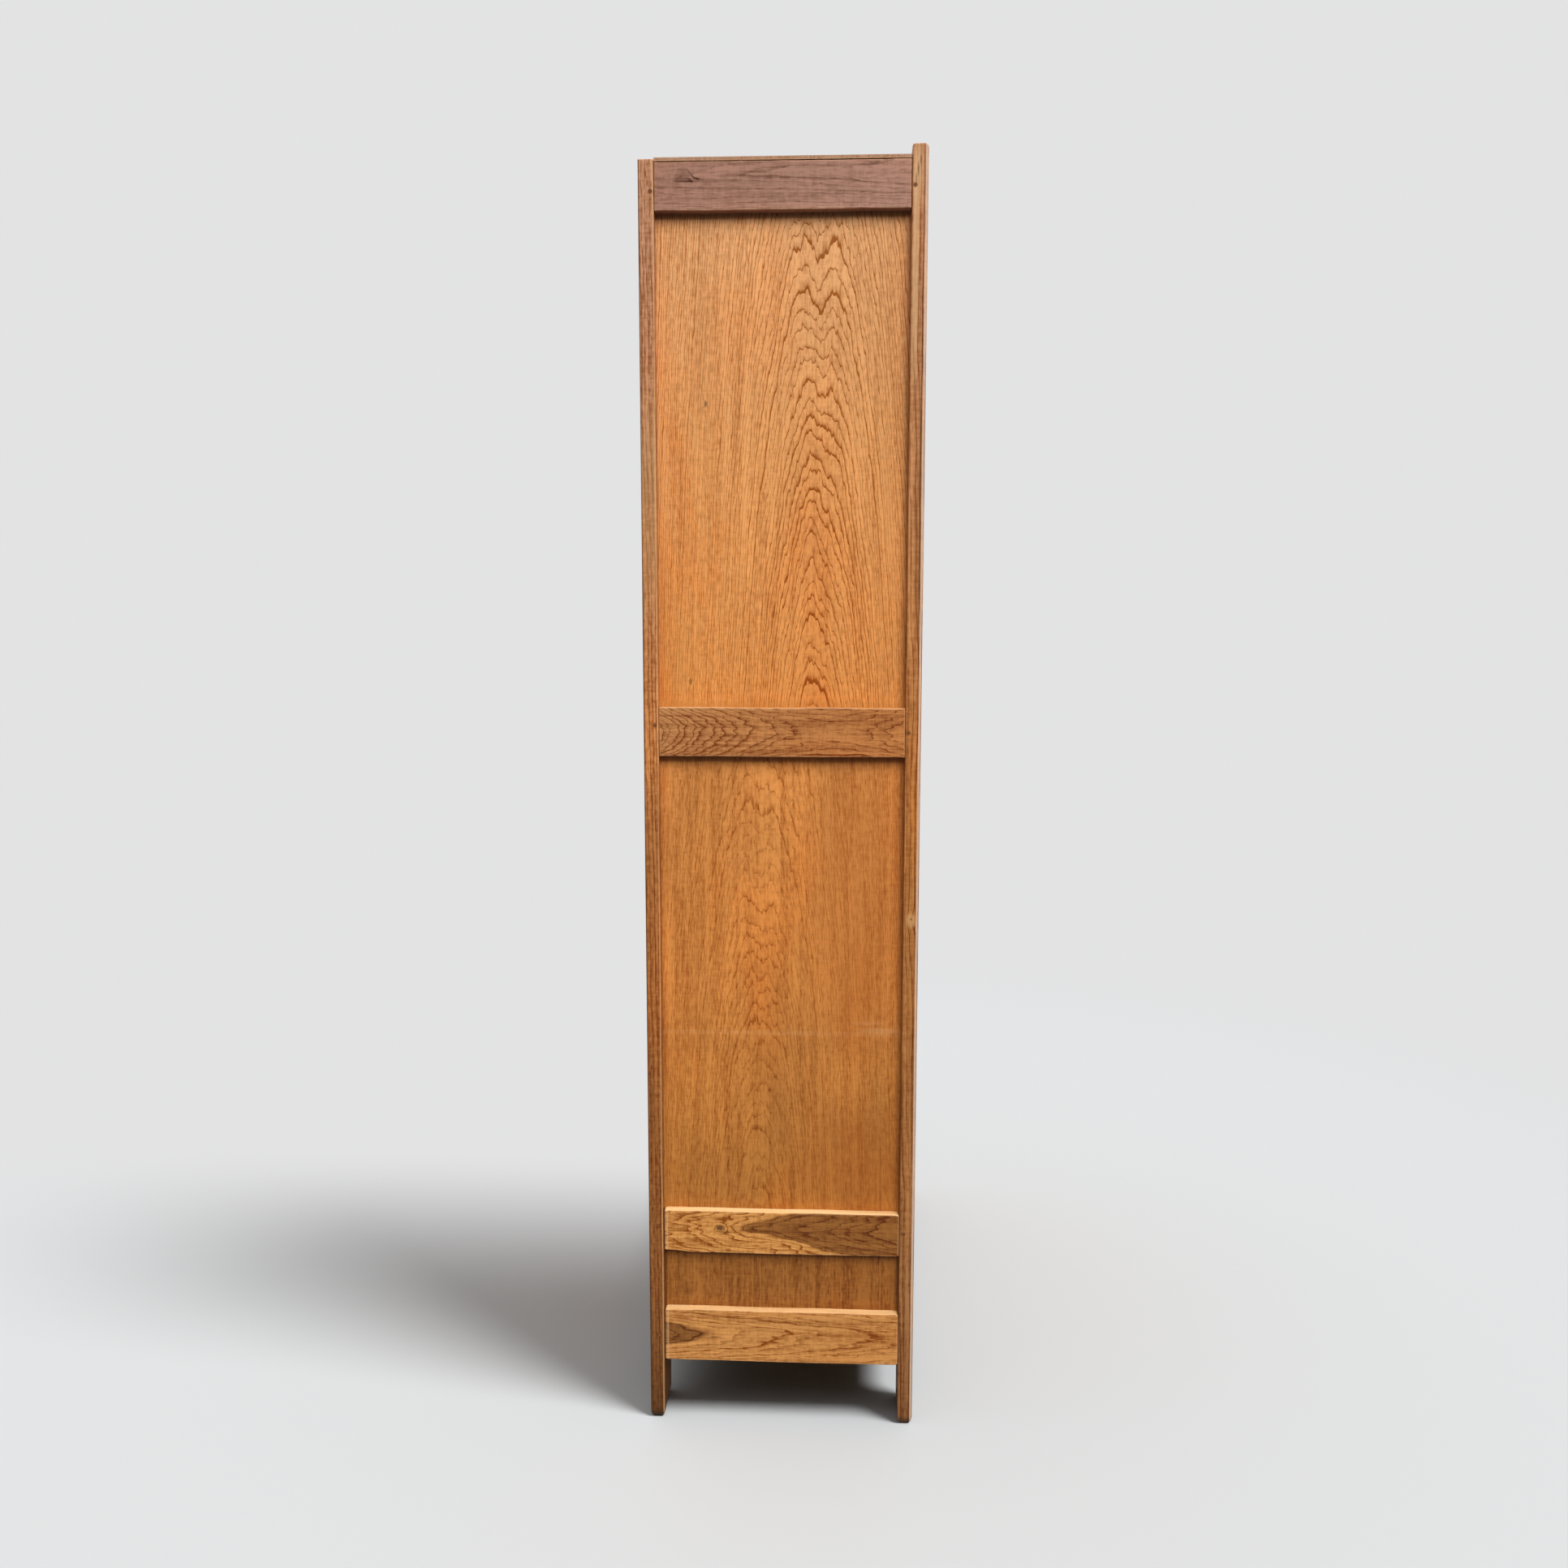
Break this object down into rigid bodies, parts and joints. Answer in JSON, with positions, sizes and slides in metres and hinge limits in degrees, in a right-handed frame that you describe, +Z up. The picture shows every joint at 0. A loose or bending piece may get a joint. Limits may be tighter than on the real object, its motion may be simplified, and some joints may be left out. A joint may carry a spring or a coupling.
{
  "type": "wardrobe",
  "caption": "Tall shallow oak wardrobe with framed, panelled ends, pivot-hung doors above a drawer, and a hat shelf and hanging rail inside.",
  "frame": {"origin": "on the floor, under the middle of the overall box", "axes": "+Z up, -Y out of the front where the doors are, +X to the right of someone facing the doors"},
  "size_m": [0.9, 0.4334, 1.916],
  "materials": {
    "oak": "solid oak, worn satin varnish",
    "oak_veneer": "oak-faced sheet, satin varnish",
    "pine": "planed softwood, unvarnished",
    "brass": "aged, satin",
    "steel": "bright drawn rod"
  },
  "bodies": {
    "carcass": {"front_stile_left": "oak", "back_stile_left": "oak", "side_bottom_rail_left": "oak", "side_drawer_rail_left": "oak", "side_middle_rail_left": "oak", "side_top_rail_left": "oak", "side_foot_panel_left": "oak_veneer", "side_lower_panel_left": "oak_veneer", "side_upper_panel_left": "oak_veneer", "front_stile_right": "oak", "back_stile_right": "oak", "side_bottom_rail_right": "oak", "side_drawer_rail_right": "oak", "side_middle_rail_right": "oak", "side_top_rail_right": "oak", "side_foot_panel_right": "oak_veneer", "side_lower_panel_right": "oak_veneer", "side_upper_panel_right": "oak_veneer", "crest_rail": "oak", "door_sill": "oak", "apron": "oak", "back_bottom_board": "oak", "back_middle_rail": "oak", "back_top_rail": "oak", "back_lower_panel": "oak_veneer", "back_upper_panel": "oak_veneer", "top_sheet": "oak_veneer", "cabinet_floor": "oak_veneer", "hat_shelf": "oak_veneer", "shelf_cleat_left": "pine", "shelf_cleat_right": "pine", "door_stop": "pine", "drawer_runner_left": "pine", "drawer_runner_right": "pine", "hanging_rail": "steel"},
    "left_door": {"door_left_hinge_stile": "oak", "door_left_meeting_stile": "oak", "door_left_bottom_rail": "oak", "door_left_middle_rail": "oak", "door_left_top_rail": "oak", "door_left_lower_panel": "oak_veneer", "door_left_upper_panel": "oak_veneer", "door_left_top_pivot": "steel", "door_left_bottom_pivot": "steel"},
    "right_door": {"door_right_hinge_stile": "oak", "door_right_meeting_stile": "oak", "door_right_bottom_rail": "oak", "door_right_middle_rail": "oak", "door_right_top_rail": "oak", "door_right_lower_panel": "oak_veneer", "door_right_upper_panel": "oak_veneer", "door_right_top_pivot": "steel", "door_right_bottom_pivot": "steel"},
    "drawer": {"drawer_front": "oak", "drawer_side_left": "pine", "drawer_side_right": "pine", "drawer_back": "pine", "drawer_bottom": "pine"},
    "turn_knob": {"door_turn": "brass"},
    "turn_button": {"door_button": "brass"}
  },
  "joints": [
    {"name": "left_door_swing", "type": "hinge", "parent": "carcass", "child": "left_door", "pos_m": [-0.34796, -0.1867, 0.333], "axis": [0, 0, -1], "range_deg": [0, 120]},
    {"name": "right_door_swing", "type": "hinge", "parent": "carcass", "child": "right_door", "pos_m": [0.34796, -0.1867, 0.333], "axis": [0, 0, 1], "range_deg": [0, 120]},
    {"name": "drawer_slide", "type": "slide", "parent": "carcass", "child": "drawer", "axis": [0, -1, 0], "range_m": [0, 0.25]},
    {"name": "knob_turn", "type": "hinge", "parent": "right_door", "child": "turn_knob", "pos_m": [0.03175, -0.1947, 1], "axis": [0, 1, 0], "range_deg": [0, 90]},
    {"name": "button_turn", "type": "hinge", "parent": "left_door", "child": "turn_button", "pos_m": [-0.03175, -0.1747, 1.786], "axis": [0, 1, 0], "range_deg": [0, 180]}
  ]
}
